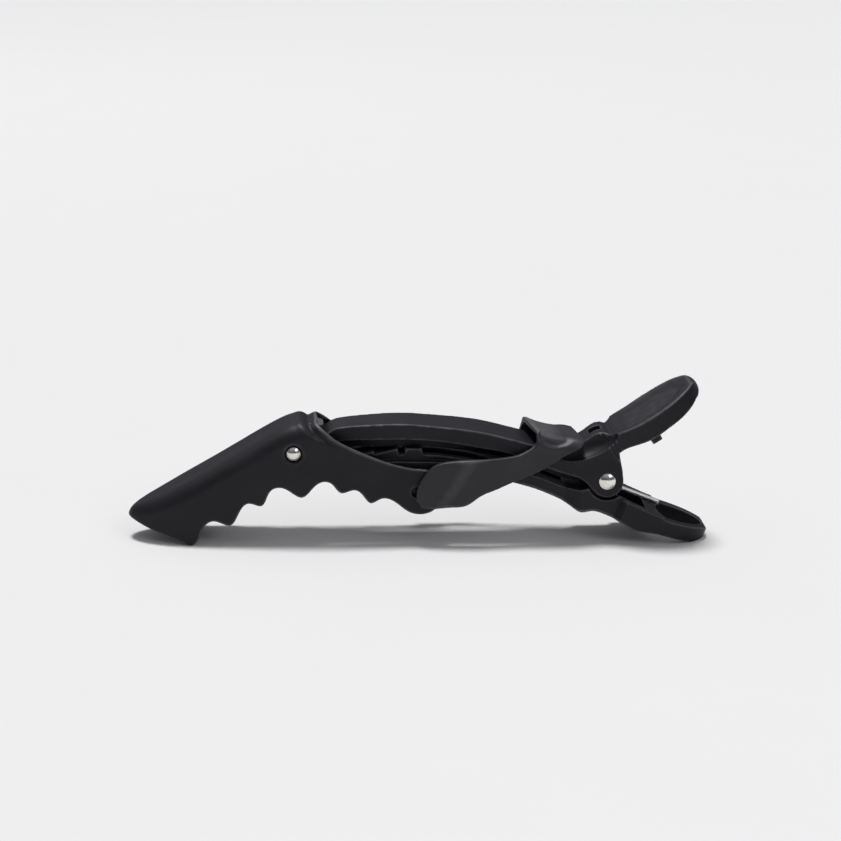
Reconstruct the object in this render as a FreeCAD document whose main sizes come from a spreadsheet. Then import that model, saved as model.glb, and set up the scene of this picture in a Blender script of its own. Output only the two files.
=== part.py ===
"""Sectioning clip for hair: a sprung arm and lower jaw, and a toothed hood hinged on the arm.

Frame: +X towards the finger grips, +Y across the clip, +Z up, in millimetres. The clip stands on
the front teeth of the hood and the underside of the finger loop, both at Z = 0, and the origin is
below its middle. Both hinge pins lie along Y.
"""
import FreeCAD, Part

import os
from math import asin, cos, pi, radians, sin

from FreeCAD import Placement, Rotation, Vector

os.makedirs("parts", exist_ok=True)
doc = FreeCAD.newDocument("sectioning_clip")

# Driving dimensions: alias, value in millimetres or degrees, what it is.
DIMENSIONS = [
    ("front_pin_x", -24.7, "front hinge axis"),
    ("front_pin_z", 18.6, "front hinge axis"),
    ("rear_pin_x", 37.1, "rear hinge axis"),
    ("rear_pin_z", 12.7, "rear hinge axis"),
    ("hood_width", 13.0, "hood across its side walls"),
    ("hood_wall", 1.3, "hood's side walls"),
    ("hood_roof", 1.1, "hood's roof"),
    ("hood_round", 3.0, "rounding of the hood's two long upper edges"),
    ("nose_length", 14.0, "length of the hood's rounded nose in plan"),
    ("ear_x", -0.5, "strap hole in the hood's ears"),
    ("ear_z", 10.8, "strap hole in the hood's ears"),
    ("ear_hole_radius", 1.15, "strap hole in the hood's ears"),
    ("arm_width", 11.6, "arm across its hinge cheeks"),
    ("arm_boss_radius", 2.9, "arm's boss round the front pin"),
    ("arm_boss_length", 10.0, "arm's boss round the front pin"),
    ("cheek_radius", 3.2, "arm's cheek round the rear pin"),
    ("cheek_gap", 9.7, "between the arm's two cheeks"),
    ("rib_width", 2.4, "rib down the middle of the arm's channel"),
    ("thumb_width", 15.6, "thumb plate"),
    ("thumb_thick", 3.5, "thumb plate"),
    ("thumb_tilt", 33.7, "thumb plate's slope, degrees"),
    ("beam_width", 9.0, "lower jaw"),
    ("trough_width", 6.6, "trough in the lower jaw, and across its two rails"),
    ("rail_gap", 3.4, "between the two rails"),
    ("lug_block_width", 12.2, "lower jaw's block under the rear hinge"),
    ("lug_radius", 2.9, "lower jaw's hinge lugs"),
    ("lug_outer", 9.5, "across the two lugs"),
    ("lug_inner", 6.8, "between the two lugs"),
    ("saddle_radius", 3.85, "hollow in the block for the cheeks"),
    ("loop_width", 14.8, "finger loop"),
    ("loop_tilt", -18.9, "finger loop's slope, degrees"),
    ("loop_thick", 3.2, "finger loop"),
    ("loop_eye_width", 10.4, "opening of the finger loop"),
    ("pin_radius", 1.2, "both pins"),
    ("pin_clearance", 0.05, "radial running clearance on the pins"),
    ("front_head_radius", 1.35, "front pin's domed heads"),
    ("rear_head_radius", 1.65, "rear pin's domed heads"),
    ("head_height", 0.55, "domed heads"),
    ("head_recess_radius", 1.75, "recess round the front pin's heads"),
    ("head_recess_depth", 0.4, "recess round the front pin's heads"),
    ("wire_radius", 0.475, "torsion spring's wire"),
    ("coil_radius", 2.1, "torsion spring's mean radius"),
    ("coil_length", 5.4, "torsion spring"),
    ("strap_thick", 1.0, "elastic strap"),
    ("strap_round", 2.5, "rounding of the strap over the arm"),
    ("neck_radius", 0.6, "strap's necks through the ears"),
    ("neck_length", 2.0, "strap's necks through the ears"),
    ("neck_pull", 0.5, "strap's necks behind the middles of their holes"),
    ("button_radius", 1.9, "strap's buttons inside the ears"),
    ("button_thick", 0.4, "strap's buttons inside the ears"),
    ("button_middle", 4.95, "half the distance between the two buttons' middles"),
]


def make_sheet():
    """The spreadsheet that holds every driving dimension."""
    sheet = doc.addObject("Spreadsheet::Sheet", "dims")
    for row, (alias, value, meaning) in enumerate(DIMENSIONS, start=1):
        sheet.set(f"A{row}", meaning)
        sheet.set(f"B{row}", str(value))
        sheet.setAlias(f"B{row}", alias)
    doc.recompute()
    return sheet


sheet = make_sheet()


def dim(alias):
    """One driving dimension, read from the sheet."""
    return float(sheet.get(alias))


# ---------------------------------------------------------------- building helpers

RIGHT_THROUGH = "dims.hood_width * 8"


def origin_plane(body, role):
    for feature in body.Origin.OriginFeatures:
        if feature.Role == role:
            return feature
    raise ValueError(role)


def point(pair):
    return Vector(pair[0], pair[1], 0)


def wire_edges(segments):
    """Closed outline from segments: ("line", p, ...), ("curve", p, ...) or ("arc", middle, end).

    Each segment starts where the one before it ended, and the last one ends at the first
    segment's start, which is the segment ("start", p).
    """
    edges = []
    here = point(segments[0][1])
    for kind, *points in segments[1:]:
        ends = [point(p) for p in points]
        if kind == "line":
            for end in ends:
                edges.append(Part.LineSegment(here, end))
                here = end
            continue
        if kind == "arc":
            edges.append(Part.Arc(here, ends[0], ends[1]))
        elif kind == "half_ellipse":
            ellipse = Part.Ellipse(ends[0], here, (here + ends[1]) / 2)
            edges.append(Part.ArcOfEllipse(ellipse, -pi / 2, pi / 2))
        else:
            spline = Part.BSplineCurve()
            spline.interpolate([here] + ends)
            edges.append(spline)
        here = ends[-1]
    start = point(segments[0][1])
    if here.distanceToPoint(start) > 1e-6:
        edges.append(Part.LineSegment(here, start))
    return edges


def pad_body(name, role, segments, length, offset=None):
    """A body of one pad, centred on its sketch plane; length is a formula of the sheet."""
    body = doc.addObject("PartDesign::Body", name)
    sketch = body.newObject("Sketcher::SketchObject", f"{name}_sketch")
    sketch.AttachmentSupport = [(origin_plane(body, role), "")]
    sketch.MapMode = "FlatFace"
    if offset is not None:
        sketch.AttachmentOffset = offset
    sketch.addGeometry(wire_edges(segments), False)
    pad = body.newObject("PartDesign::Pad", f"{name}_pad")
    pad.Profile = sketch
    pad.Midplane = True
    pad.setExpression("Length", length)
    body.Tip = pad
    return body


def side_body(name, segments, length):
    """A pad of an outline in X and Z, centred on the clip's middle plane."""
    return pad_body(name, "XZ_Plane", segments, length)


def plan_body(name, segments, length, offset=None):
    """A pad of an outline in X and Y; an offset tilts and moves its plane."""
    return pad_body(name, "XY_Plane", segments, length, offset)


def mirrored_plan(upper):
    """Closed plan outline from its half with Y above 0, listed from the rear end to the front."""
    lower = [(x, -y) for x, y in reversed(upper)]
    return [("start", upper[0]), ("line", *upper[1:], *lower)]


def boolean(kind, name, first, *others):
    """Part::Cut, Part::MultiFuse or Part::MultiCommon of the objects given."""
    result = doc.addObject(kind, name)
    if kind == "Part::Cut":
        result.Base = first
        tools = list(others)
        result.Tool = tools[0] if len(tools) == 1 else boolean("Part::MultiFuse", f"{name}_tools", *tools)
    else:
        result.Shapes = [first, *others]
    return result


def cut(name, base, *tools):
    return boolean("Part::Cut", name, base, *tools)


def fuse(name, *shapes):
    return boolean("Part::MultiFuse", name, *shapes)


def common(name, *shapes):
    return boolean("Part::MultiCommon", name, *shapes)


def cross_cylinder(name, radius, length, x, z, middle="0"):
    """A cylinder along Y; every argument but the name is a formula of the sheet."""
    cylinder = doc.addObject("Part::Cylinder", name)
    cylinder.Placement = Placement(Vector(0, 0, 0), Rotation(Vector(1, 0, 0), -90))
    cylinder.setExpression("Radius", radius)
    cylinder.setExpression("Height", length)
    cylinder.setExpression(".Placement.Base.x", x)
    cylinder.setExpression(".Placement.Base.z", z)
    cylinder.setExpression(".Placement.Base.y", f"{middle} - ({length}) / 2")
    return cylinder


FRONT = ("dims.front_pin_x", "dims.front_pin_z")
REAR = ("dims.rear_pin_x", "dims.rear_pin_z")
EAR = ("dims.ear_x", "dims.ear_z")


def both_sides(name, radius, length, centre, middle):
    """Two cylinders along Y, mirror images of each other, middle being their centres' |Y|."""
    return [
        cross_cylinder(f"{name}_{side}", radius, length, *centre, f"{sign}({middle})")
        for side, sign in (("left", "-"), ("right", ""))
    ]


def rounded(name, base, radius, chosen):
    """Part::Fillet on the edges of base that chosen(edge) picks."""
    doc.recompute()
    picked = [n for n, edge in enumerate(base.Shape.Edges, start=1) if chosen(edge)]
    fillet = doc.addObject("Part::Fillet", name)
    fillet.Base = base
    fillet.Edges = [(n, radius, radius) for n in picked]
    return fillet


def middle_of(edge):
    """The point halfway along an edge."""
    return edge.valueAt((edge.FirstParameter + edge.LastParameter) / 2)


def tilted(origin, tilt):
    """A function that takes a point of a sloping side frame to X and Z."""
    along = (cos(radians(tilt)), sin(radians(tilt)))

    def place(s, n):
        return (origin[0] + s * along[0] - n * along[1], origin[1] + s * along[1] + n * along[0])

    return place


def tilted_offset(origin, tilt):
    return Placement(Vector(origin[0], 0, origin[1]), Rotation(Vector(0, 1, 0), -tilt))


# ---------------------------------------------------------------- front jaw: the toothed hood

CREST = [(-57.1, 5.6), (-54.1, 7.5), (-51.0, 9.1), (-46.2, 11.8), (-39.9, 15.5), (-33.5, 19.4),
         (-28.8, 22.2), (-26.5, 23.4), (-24.6, 24.1), (-23.2, 24.3), (-20.0, 24.1), (-15.0, 23.9),
         (-8.0, 23.6)]
RIM = [(-21.4, 25.4), (-20.6, 24.3), (-19.9, 23.6), (-18.7, 22.8), (-16.7, 21.5), (-13.8, 19.9),
       (-10.8, 18.6), (-6.9, 17.1), (-3.0, 16.0), (-0.8, 15.6), (1.3, 15.4)]
EAR_END = [(3.5, 14.2), (4.8, 11.6), (4.0, 8.4), (2.3, 6.8), (0.2, 6.3)]
TEETH = [(-2.0, 6.8), (-5.8, 9.4), (-7.5, 9.5), (-9.5, 8.6), (-11.1, 10.2), (-12.7, 11.3),
         (-15.4, 10.7), (-17.3, 12.6), (-18.7, 13.0), (-20.3, 12.3), (-23.1, 9.8), (-25.1, 10.8),
         (-27.3, 11.8), (-29.1, 11.2), (-31.0, 8.1), (-33.4, 8.6), (-35.3, 6.7), (-37.1, 4.1),
         (-40.3, 5.0), (-42.1, 3.9), (-43.1, 1.5), (-44.6, 0.0), (-46.0, 0.4), (-49.2, 1.7),
         (-52.3, 2.8), (-55.5, 4.1), (-57.8, 4.9)]
HOOD_END = 8
BELOW = -6


def hood_plan(name, inset):
    """Plan of the hood, straight to the nose and then half an ellipse, inset by a wall."""
    half = dim("hood_width") / 2 - inset
    length = dim("nose_length") - inset
    start = CREST[0][0] + dim("nose_length")
    return plan_body(name, [
        ("start", (start, -half)), ("line", (HOOD_END, -half), (HOOD_END, half), (start, half)),
        ("half_ellipse", (start - length, 0), (start, -half))], RIGHT_THROUGH)


def hood_form(name, inset, drop, radius):
    """The hood's outer form or its hollow: a crest profile, the plan and rounded shoulders."""
    crest = [(x, z - drop) for x, z in CREST]
    side = side_body(f"{name}_side", [
        ("start", crest[0]), ("curve", *crest[1:]),
        ("line", (HOOD_END, crest[-1][1] - 2.5), (HOOD_END, BELOW), (crest[0][0], BELOW))],
        "dims.hood_width * 1.2")
    block = common(f"{name}_block", side, hood_plan(f"{name}_plan", inset))

    def shoulder(edge):
        return edge.Curve.TypeId == "Part::GeomBSplineCurve" and middle_of(edge).z > 1

    return rounded(f"{name}_form", block, radius, shoulder)


def make_front_jaw():
    outline = side_body("hood_outline", [
        ("start", TEETH[-1]), ("line", (TEETH[-1][0], 30), (RIM[0][0], 30), RIM[0]),
        ("curve", *RIM[1:], *EAR_END, *TEETH)], "dims.hood_width * 1.2")
    wall = dim("hood_wall")
    outer = hood_form("hood_outer", 0, 0, dim("hood_round"))
    hollow = hood_form("hood_hollow", wall, dim("hood_roof"), dim("hood_round") - wall)
    shell = common("hood_shell", outer, outline)
    recesses = both_sides("head_recess", "dims.head_recess_radius", "dims.head_recess_depth * 2",
                          FRONT, "dims.hood_width / 2")
    pin_hole = cross_cylinder("hood_pin_hole", "dims.pin_radius", "dims.hood_width + 2", *FRONT)
    strap_hole = cross_cylinder("hood_strap_hole", "dims.ear_hole_radius", "dims.hood_width + 2",
                                *EAR)
    return cut("front_jaw", shell, hollow, pin_hole, strap_hole, *recesses)


# ---------------------------------------------------------------- upper arm with its thumb plate

ARM_TOP = [(-21.1, 19.6), (-19.4, 20.9), (-18.2, 21.9), (-16.9, 22.8), (-15.0, 23.3), (-12.2, 23.6),
           (-7.7, 23.9), (-2.2, 24.0), (1.8, 23.7), (6.2, 23.3), (12.1, 22.5), (16.1, 21.6), (20.9, 20.3),
           (24.9, 19.3), (28.4, 18.9), (31.4, 19.7), (33.4, 20.9), (35.1, 22.0), (36.4, 22.2),
           (37.4, 21.9)]
ARM_UNDERSIDE = [(33.1, 12.3), (31.1, 13.6), (27.7, 14.5), (24.9, 15.6), (18.8, 17.9), (15.8, 18.7),
                 (11.8, 19.4), (5.9, 20.4), (1.9, 20.8), (-4.0, 21.0), (-7.8, 20.9), (-14.6, 20.6),
                 (-18.6, 19.5), (-20.6, 17.7), (-22.6, 17.0)]
ARM_HALF_WIDTHS = [(-23.0, 3.5), (-17.0, 3.6), (-7.5, 4.2), (2.0, 4.5), (12.0, 4.85), (24.0, 5.0),
                   (28.0, 5.3), (31.5, 5.8)]
CHANNEL_TOP = [(-16.1, 21.4), (-7.7, 22.2), (1.9, 22.0), (12.2, 20.6), (20.9, 18.4), (25.9, 17.1),
               (30.9, 16.7)]
CHANNEL_HALF_WIDTHS = [(-17.5, 2.4), (-7.5, 2.9), (2.0, 3.2), (12.0, 3.5), (24.0, 3.7), (28.0, 4.1)]
RIB_UNDERSIDE = [(32.8, 11.8), (29.2, 12.0), (25.8, 13.2), (22.4, 14.5), (19.0, 15.6), (14.0, 17.0),
                 (8.0, 18.0), (2.0, 18.6), (-4.0, 18.7), (-12.0, 18.7), (-17.0, 19.2)]
THUMB_ORIGIN = (37.9, 22.0)
SCOOP = (32.6, 6.3, 20.3)
SCOOP_TILT = -22


def make_thumb_plate():
    """The thumb plate: a slightly dished plate with a round end, and the nub under it."""
    place = tilted(THUMB_ORIGIN, dim("thumb_tilt"))
    thick = dim("thumb_thick")
    top = [(-2.0, -0.6), (0, 0), (4.0, -0.3), (8.0, -0.4), (12.7, -0.3), (16.6, -0.1), (17.7, -0.1)]
    under = [(17.2, -2.8), (14.0, -3.7), (10.5, -0.5 - thick), (4.9, -0.6 - thick), (0.7, -thick),
             (-2.4, -4.2)]
    side = side_body("thumb_side", [
        ("start", place(*top[0])), ("curve", *[place(*p) for p in top[1:]]),
        ("arc", place(18.8, -1.3), place(*under[0])), ("curve", *[place(*p) for p in under[1:]])],
        "dims.thumb_width + 2")
    half = dim("thumb_width") / 2
    plan = plan_body("thumb_plan", [
        ("start", (10.0, -half)), ("curve", (6.0, 0.1 - half), (3.0, 0.8 - half), (0, 1.8 - half),
                                   (-3.0, 2.3 - half)),
        ("line", (-3.0, half - 2.3)),
        ("curve", (0, half - 1.8), (3.0, half - 0.8), (6.0, half - 0.1), (10.0, half)),
        ("half_ellipse", (18.8, 0), (10.0, -half))],
        "dims.thumb_width * 2", tilted_offset(THUMB_ORIGIN, dim("thumb_tilt")))
    nub = side_body("thumb_nub", [
        ("start", place(5.6, -3.0)), ("line", place(8.0, -3.0), place(7.8, -6.2), place(5.8, -6.2))],
        "dims.thumb_width * 0.62")
    return fuse("thumb_plate", common("thumb_blade", side, plan), nub)


def make_scoops():
    """The long hollows between the arm's narrow top block and its two cheeks."""
    scoops = []
    for side, sign in (("left", -1), ("right", 1)):
        scoop = doc.addObject("Part::Ellipsoid", f"scoop_{side}")
        scoop.Placement = Placement(Vector(SCOOP[0], sign * SCOOP[1], SCOOP[2]),
                                    Rotation(Vector(0, 1, 0), SCOOP_TILT))
        scoop.setExpression("Radius1", "dims.arm_width / 4")
        scoop.setExpression("Radius2", "dims.arm_width * 0.57")
        scoop.setExpression("Radius3", "dims.arm_width / 4")
        scoops.append(scoop)
    return scoops


def make_upper_arm():
    rear_x, rear_z, cheek = dim("rear_pin_x"), dim("rear_pin_z"), dim("cheek_radius")
    side = side_body("arm_side", [
        ("start", (-22.5, 17.5)), ("line", (-22.5, 20.6), ARM_TOP[0]), ("curve", *ARM_TOP[1:]),
        ("line", (38.6, 21.9), (39.5, 17.2), (40.0, 15.0), (rear_x + cheek, rear_z)),
        ("arc", (rear_x + cheek * cos(radians(60)), rear_z - cheek * sin(radians(60))),
         (rear_x - cheek * cos(radians(55)), rear_z - cheek * sin(radians(55)))),
        ("line", ARM_UNDERSIDE[0]), ("curve", *ARM_UNDERSIDE[1:])], "dims.arm_width + 2")
    half = dim("arm_width") / 2
    widths = ARM_HALF_WIDTHS[:-1] + [(ARM_HALF_WIDTHS[-1][0], half)]
    plan = plan_body("arm_plan", mirrored_plan([(42.0, half), *reversed(widths)]), RIGHT_THROUGH)
    gap = dim("cheek_gap") / 2
    channel_side = side_body("channel_side", [
        ("start", (-17.5, 12)), ("line", (-17.5, 21.3), CHANNEL_TOP[0]), ("curve", *CHANNEL_TOP[1:]),
        ("line", (43.0, 16.9), (43.0, 5.0), (30.0, 5.0))], "dims.arm_width")
    channel_plan = plan_body("channel_plan", mirrored_plan(
        [(44.0, gap), (31.0, gap), *reversed(CHANNEL_HALF_WIDTHS)]), RIGHT_THROUGH)
    rib_top = [(x, z + 0.3) for x, z in CHANNEL_TOP]
    rib = side_body("arm_rib", [
        ("start", rib_top[0]), ("curve", *rib_top[1:]), ("line", (32.8, 17.0), RIB_UNDERSIDE[0]),
        ("curve", *RIB_UNDERSIDE[1:])], "dims.rib_width")
    slot = side_body("spring_slot", [
        ("start", (33.9, 15.0)), ("line", (36.0, 15.0), (36.2, 26.0), (33.7, 26.0))],
        "dims.wire_radius * 4.5")
    boss = cross_cylinder("arm_boss", "dims.arm_boss_radius", "dims.arm_boss_length", *FRONT)
    front_bore = cross_cylinder("arm_front_bore", "dims.pin_radius + dims.pin_clearance",
                                "dims.hood_width", *FRONT)
    rear_hole = cross_cylinder("arm_rear_hole", "dims.pin_radius", "dims.arm_width + 2", *REAR)
    blank = fuse("arm_blank", common("arm_beam", side, plan), make_thumb_plate(), boss)
    channel = common("arm_channel", channel_side, channel_plan)
    hollowed = cut("arm_hollowed", blank, channel, slot, front_bore, rear_hole, *make_scoops())
    return fuse("upper_arm", hollowed, rib)


# ---------------------------------------------------------------- lower jaw with its finger loop

JAW_TOP = [(-52.4, 5.9), (-46.1, 8.5), (-39.1, 11.2), (-32.1, 13.7), (-24.7, 14.7), (-16.1, 15.8),
           (-8.1, 16.4), (1.9, 16.4), (9.9, 15.9), (15.9, 14.9), (22.4, 13.7), (25.8, 12.4),
           (29.2, 11.1), (31.6, 10.7)]
JAW_UNDERSIDE = [(34.0, 6.9), (32.0, 6.6), (30.9, 7.1), (28.7, 8.6), (25.7, 10.1), (21.7, 11.6),
                 (18.2, 12.3), (9.9, 13.4), (1.9, 13.7), (-8.1, 13.8), (-18.6, 13.3), (-27.1, 12.0),
                 (-33.4, 9.9), (-40.4, 6.9), (-47.0, 5.0), (-52.4, 4.3)]
LOOP_ORIGIN = (38.7, 8.7)
LOOP_TOP = [(-0.6, 1.1), (1.1, 1.0), (5.0, 0.6), (10.0, 0.15)]
LOOP_UNDERSIDE = [(11.0, -3.3), (8.8, -3.6), (6.8, -3.95), (4.7, -3.9), (3.2, -3.5), (1.2, -3.1),
                  (-0.6, -2.7)]
RAIL_TOP = [(-16.2, 15.6), (-14.2, 16.8), (-12.9, 17.3), (-9.0, 18.2), (-8.8, 17.6), (-8.2, 17.8),
            (-4.3, 18.8), (-4.1, 17.6), (-2.9, 17.6), (-2.7, 18.8), (0.4, 18.8), (0.7, 17.6), (4.0, 17.4),
            (10.0, 16.5), (15.9, 14.9)]
TROUGH_DEPTH = 0.8
TOOTH_PITCH = 3.1
TOOTH_COUNT = 7
LAST_TOOTH_X = -18.0


def jaw_height(x):
    """Height of the lower jaw's top at x, between the points of its outline."""
    for (x0, z0), (x1, z1) in zip(JAW_TOP, JAW_TOP[1:]):
        if x0 <= x <= x1:
            return z0 + (z1 - z0) * (x - x0) / (x1 - x0)
    raise ValueError(x)


def make_beam():
    """The jaw's beam: narrow at its front, with a trough, two toothed rails and a row of teeth.

    There is no tooth right below the arm's boss.
    """
    half = dim("beam_width") / 2
    side = side_body("beam_side", [
        ("start", JAW_TOP[0]), ("curve", *JAW_TOP[1:]), ("line", (34.0, 10.9), JAW_UNDERSIDE[0]),
        ("curve", *JAW_UNDERSIDE[1:])], "dims.beam_width + 1")
    nose = JAW_TOP[0][0]
    plan = plan_body("beam_plan", [
        ("start", (nose + 10, -half)), ("line", (35, -half), (35, half), (nose + 10, half)),
        ("half_ellipse", (nose, 0), (nose + 10, -half))], RIGHT_THROUGH)
    floor = [(x, z - TROUGH_DEPTH) for x, z in JAW_TOP if -40 < x < 30]
    above_floor = [("start", floor[0]), ("curve", *floor[1:]),
                   ("line", (floor[-1][0], 25), (floor[0][0], 25))]
    trough = side_body("beam_trough", above_floor, "dims.trough_width")
    rails = cut("jaw_rails", side_body("jaw_rail_side", [
        ("start", RAIL_TOP[0]), ("line", *RAIL_TOP[1:], (15.9, 14.0), (-16.2, 14.6))], "dims.trough_width"),
        side_body("jaw_rail_gap", above_floor, "dims.rail_gap"))
    teeth = []
    for step in range(TOOTH_COUNT):
        x = LAST_TOOTH_X - TOOTH_PITCH * step
        if abs(x - dim("front_pin_x")) < TOOTH_PITCH / 2:
            continue
        z = jaw_height(x)
        teeth.append(side_body(f"jaw_tooth_{step + 1}", [
            ("start", (x - 1.0, z - 1.4)), ("line", (x + 1.0, z - 1.4), (x + 0.6, z + 0.9),
                                            (x - 0.5, z + 0.9))], "dims.beam_width - 3.4"))
    return fuse("beam", cut("beam_troughed", common("beam_blank", side, plan), trough), rails, *teeth)


def make_loop():
    """The finger loop with its raised rails, seen along its own slope."""
    place = tilted(LOOP_ORIGIN, dim("loop_tilt"))
    offset = tilted_offset(LOOP_ORIGIN, dim("loop_tilt"))
    half, eye, thick = dim("loop_width") / 2, dim("loop_eye_width") / 2, dim("loop_thick")
    side = side_body("loop_side", [
        ("start", place(*LOOP_TOP[0])), ("curve", *[place(*p) for p in LOOP_TOP[1:]]),
        ("line", place(10.3, -0.2), place(19.4, -0.1)),
        ("arc", place(20.3, -1.1), place(19.5, -0.1 - thick * 0.85)),
        ("line", place(18.4, -0.1 - thick), place(*LOOP_UNDERSIDE[0])),
        ("curve", *[place(*p) for p in LOOP_UNDERSIDE[1:]])], "dims.loop_width + 2")
    plan = plan_body("loop_plan", [
        ("start", (11.5, -half)), ("line", (2.2, -half), (0.9, 1.2 - half), (-0.8, 1.4 - half),
                                   (-0.8, half - 1.4), (0.9, half - 1.2), (2.2, half),
                                   (11.5, half)), ("half_ellipse", (20.4, 0), (11.5, -half))],
        "dims.loop_width * 2", offset)
    opening = plan_body("loop_eye", [
        ("start", (11.8, -eye)), ("curve", (11.0, -eye * 0.8), (11.0, eye * 0.8), (11.8, eye)),
        ("half_ellipse", (19.1, 0), (11.8, -eye))],
        "dims.loop_width * 2", offset)
    step_down = side_body("crossbar_top", [
        ("start", place(7.0, 0)), ("line", place(11.6, -0.35), place(11.6, 4), place(7.0, 4))],
        "dims.loop_eye_width")
    ground = side_body("ground", [
        ("start", (40, 0)), ("line", (62, 0), (62, BELOW), (40, BELOW))], "dims.loop_width + 4")
    return cut("finger_loop", common("loop_blank", side, plan), opening, step_down, ground)


def make_lug_block():
    """The block below the rear pin and the two lugs that the pin runs in."""
    rear_x, rear_z, lug = dim("rear_pin_x"), dim("rear_pin_z"), dim("lug_radius")
    side = side_body("block_side", [
        ("start", (28.9, 11.1)), ("line", (31.7, 10.9), (33.1, 11.2), (36.0, 11.2), (37.6, 9.7),
                                  (39.9, 9.55), (41.0, 9.0), (40.2, 5.0)),
        ("curve", (39.2, 5.3), (37.5, 6.0), (35.9, 6.7), (34.0, 7.0), (32.0, 6.75), (30.9, 7.2),
         (28.9, 8.6))], "dims.loop_width")
    half, beam = dim("lug_block_width") / 2, dim("beam_width") / 2
    block = common("block", side, plan_body("block_plan", mirrored_plan(
        [(42.0, half), (31.9, half), (28.9, beam - 0.2)]), RIGHT_THROUGH))
    lugs = side_body("lug_side", [
        ("start", (rear_x - lug, 8.5)), ("line", (rear_x - lug, rear_z)),
        ("arc", (rear_x, rear_z + lug), (rear_x + lug, rear_z)), ("line", (39.6, 8.5))],
        "dims.lug_outer")
    return fuse("lug_block", block, lugs)


def make_lower_jaw():
    """The beam, the block and the loop in one, with the room for the cheeks and the spring."""
    place = tilted(LOOP_ORIGIN, dim("loop_tilt"))
    pocket = side_body("spring_pocket", [
        ("start", place(0.5, -2.6)), ("line", place(7.0, -2.6), place(7.6, 4), place(0.1, 4))],
        "dims.loop_eye_width")
    leg_room = side_body("leg_room", [
        ("start", place(-3, 0.35)), ("line", place(1.5, 0.35), place(1.5, 8), place(-3, 8))],
        "dims.lug_inner + 0.6")
    rooms = [
        pocket, leg_room,
        cross_cylinder("coil_room", "dims.lug_radius + 0.3", "dims.lug_inner", *REAR),
        cross_cylinder("jaw_bore", "dims.pin_radius + dims.pin_clearance", "dims.hood_width", *REAR),
        *both_sides("cheek_notch", "dims.saddle_radius", "dims.loop_width - dims.lug_outer", REAR,
                    "dims.loop_width / 2")]
    whole = fuse("jaw_blank", make_beam(), make_lug_block(), make_loop())
    return cut("lower_jaw", whole, *rooms)


# ---------------------------------------------------------------- pins, spring and strap


def make_pin(name, centre, shaft_length, head_radius):
    """A pin with a domed head at each end, turned about its own axis."""
    body = doc.addObject("PartDesign::Body", name)
    sketch = body.newObject("Sketcher::SketchObject", f"{name}_profile")
    sketch.AttachmentSupport = [(origin_plane(body, "XY_Plane"), "")]
    sketch.MapMode = "FlatFace"
    half, height = dim(shaft_length) / 2, dim("head_height")
    if name == "front_pin":
        half -= dim("head_recess_depth")
    shaft, head = dim("pin_radius"), dim(head_radius)
    ball = (head ** 2 + height ** 2) / (2 * height)
    turn = asin(head / ball) / 2
    dome = (ball * sin(turn), half + height - ball * (1 - cos(turn)))
    sketch.addGeometry(wire_edges([
        ("start", (0, -half - height)),
        ("arc", (dome[0], -dome[1]), (head, -half)), ("line", (shaft, -half), (shaft, half),
                                                       (head, half)),
        ("arc", dome, (0, half + height))]), False)
    turned = body.newObject("PartDesign::Revolution", f"{name}_turned")
    turned.Profile = sketch
    turned.ReferenceAxis = (sketch, ["V_Axis"])
    turned.Angle = 360
    body.Tip = turned
    body.setExpression(".Placement.Base.x", centre[0])
    body.setExpression(".Placement.Base.z", centre[1])
    return body


def rod(radius, *points):
    """A wire of straight runs with a ball at each bend."""
    solid = None
    for start, end in zip(points, points[1:]):
        run = Part.makeCylinder(radius, start.distanceToPoint(end), start, end - start)
        solid = run if solid is None else solid.fuse(run)
    for bend in points[1:-1]:
        solid = solid.fuse(Part.makeSphere(radius, bend))
    return solid


def make_spring():
    """The torsion spring: its coil as a sleeve, and its two legs. It changes shape in use."""
    wire, coil, length = dim("wire_radius"), dim("coil_radius"), dim("coil_length")
    centre = Vector(dim("rear_pin_x"), 0, dim("rear_pin_z"))
    start = centre - Vector(0, length / 2, 0)
    axis = Vector(0, 1, 0)
    half_wall = wire + 0.02
    sleeve = Part.makeCylinder(coil + half_wall, length, start, axis).cut(
        Part.makeCylinder(coil - half_wall, length, start, axis))
    place = tilted(LOOP_ORIGIN, dim("loop_tilt"))
    low_x, low_z = place(-2.8, 1.2)
    end_x, end_z = place(10.4, 0.55)
    lower_leg = rod(wire, Vector(low_x, 2.2, low_z), Vector(end_x, 4.3, end_z))
    up_x = centre.x - coil
    upper_leg = rod(wire, Vector(up_x, -2.0, centre.z), Vector(up_x, -0.4, centre.z + 3.6),
                    Vector(up_x, -0.4, centre.z + 7.8))
    spring = doc.addObject("Part::Feature", "torsion_spring")
    spring.Shape = sleeve.fuse([lower_leg, upper_leg]).removeSplitter()
    return spring


STRAP_UPPER = [(-0.6, 9.4), (-0.3, 12.2), (1.0, 14.6), (2.3, 16.1), (5.8, 17.3), (13.6, 17.7),
               (17.2, 18.0), (19.4, 18.5), (21.0, 19.7), (21.6, 20.9), (21.3, 22.7)]
STRAP_SADDLE = [(21.9, 23.0), (24.3, 22.2), (26.0, 21.75), (28.0, 21.5), (30.0, 21.35), (31.4, 21.0)]
STRAP_LOWER = [(30.5, 19.8), (28.3, 18.3), (26.4, 16.9), (23.8, 15.3), (21.5, 14.2), (18.0, 12.9),
               (14.7, 11.5), (11.8, 10.3), (9.2, 8.6), (5.9, 8.1), (2.9, 7.8), (0.4, 8.0)]
BEFORE_SADDLE = [(-6.0, 36.0), (5.0, 31.0), (14.0, 27.0), (18.5, 24.7)]
AFTER_SADDLE = [(34.0, 20.3), (36.0, 19.7)]
STRAP_HALF_WIDTHS = [(-6.0, 7.7), (-2.0, 7.7), (8.0, 7.75), (14.0, 7.6), (20.0, 6.9), (26.0, 6.7),
                     (33.0, 6.9), (36.0, 6.9)]


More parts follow.
